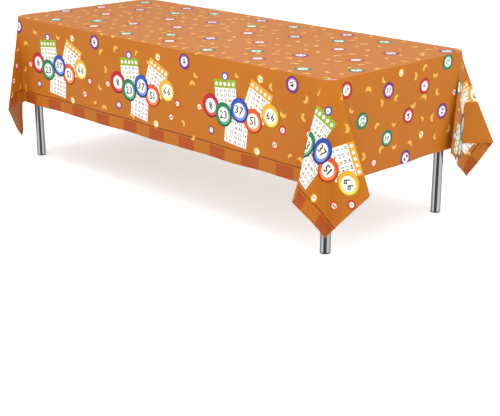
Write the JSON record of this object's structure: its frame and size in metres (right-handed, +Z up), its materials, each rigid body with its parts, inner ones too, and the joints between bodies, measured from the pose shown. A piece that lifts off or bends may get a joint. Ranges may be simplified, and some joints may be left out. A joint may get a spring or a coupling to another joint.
{
  "type": "draped party table",
  "caption": "Long rectangular table on round tube legs, under a printed plastic cloth that hangs down all round and folds at the corners.",
  "frame": {"origin": "on the floor, under the middle of the table", "axes": "+X along the table, +Y across it towards the back long side, +Z up"},
  "size_m": [2.559, 1.2708, 0.7431],
  "materials": {
    "cloth_film": "satin",
    "board": "matte",
    "laminate": "satin",
    "edge_band": "satin",
    "underframe_paint": "satin",
    "leg_chrome": "polished",
    "foot_plastic": "matte",
    "screw_steel": "satin"
  },
  "bodies": {
    "table": {"board_core": "board", "top_laminate": "laminate", "backing_sheet": "laminate", "edge_band": "edge_band", "rail_front": "underframe_paint", "rail_back": "underframe_paint", "rail_left": "underframe_paint", "rail_right": "underframe_paint", "cross_rail_left": "underframe_paint", "cross_rail_right": "underframe_paint", "leg_plate_front_left": "underframe_paint", "leg_plate_front_right": "underframe_paint", "leg_plate_back_left": "underframe_paint", "leg_plate_back_right": "underframe_paint", "leg_front_left": "leg_chrome", "leg_front_right": "leg_chrome", "leg_back_left": "leg_chrome", "leg_back_right": "leg_chrome", "foot_insert_front_left": "foot_plastic", "foot_insert_front_right": "foot_plastic", "foot_insert_back_left": "foot_plastic", "foot_insert_back_right": "foot_plastic", "plate_screws": "screw_steel", "rail_screws": "screw_steel", "leg_screws": "screw_steel"},
    "cloth": {"tablecloth": "cloth_film"},
    "stud_front_left": {"foot_stud_front_left": "screw_steel"},
    "pad_front_left": {"foot_pad_front_left": "foot_plastic"},
    "stud_front_right": {"foot_stud_front_right": "screw_steel"},
    "pad_front_right": {"foot_pad_front_right": "foot_plastic"},
    "stud_back_left": {"foot_stud_back_left": "screw_steel"},
    "pad_back_left": {"foot_pad_back_left": "foot_plastic"},
    "stud_back_right": {"foot_stud_back_right": "screw_steel"},
    "pad_back_right": {"foot_pad_back_right": "foot_plastic"}
  },
  "joints": [
    {"name": "cloth_lift", "type": "slide", "parent": "table", "child": "cloth", "axis": [0, 0, 1], "range_m": [0, 0.62]},
    {"name": "foot_front_left_height", "type": "slide", "parent": "table", "child": "stud_front_left", "axis": [0, 0, -1], "range_m": [0, 0.012]},
    {"name": "foot_front_left_turn", "type": "hinge", "parent": "stud_front_left", "child": "pad_front_left", "pos_m": [-1.025, -0.375, 0.004], "axis": [0, 0, -1], "range_deg": [0, 2880]},
    {"name": "foot_front_right_height", "type": "slide", "parent": "table", "child": "stud_front_right", "axis": [0, 0, -1], "range_m": [0, 0.012]},
    {"name": "foot_front_right_turn", "type": "hinge", "parent": "stud_front_right", "child": "pad_front_right", "pos_m": [1.025, -0.375, 0.004], "axis": [0, 0, -1], "range_deg": [0, 2880]},
    {"name": "foot_back_left_height", "type": "slide", "parent": "table", "child": "stud_back_left", "axis": [0, 0, -1], "range_m": [0, 0.012]},
    {"name": "foot_back_left_turn", "type": "hinge", "parent": "stud_back_left", "child": "pad_back_left", "pos_m": [-1.025, 0.375, 0.004], "axis": [0, 0, -1], "range_deg": [0, 2880]},
    {"name": "foot_back_right_height", "type": "slide", "parent": "table", "child": "stud_back_right", "axis": [0, 0, -1], "range_m": [0, 0.012]},
    {"name": "foot_back_right_turn", "type": "hinge", "parent": "stud_back_right", "child": "pad_back_right", "pos_m": [1.025, 0.375, 0.004], "axis": [0, 0, -1], "range_deg": [0, 2880]}
  ],
  "couplings": [
    {"joint": "foot_front_left_turn", "follows": "foot_front_left_height", "rad_per_m": 4188.8},
    {"joint": "foot_front_right_turn", "follows": "foot_front_right_height", "rad_per_m": 4188.8},
    {"joint": "foot_back_left_turn", "follows": "foot_back_left_height", "rad_per_m": 4188.8},
    {"joint": "foot_back_right_turn", "follows": "foot_back_right_height", "rad_per_m": 4188.8}
  ]
}
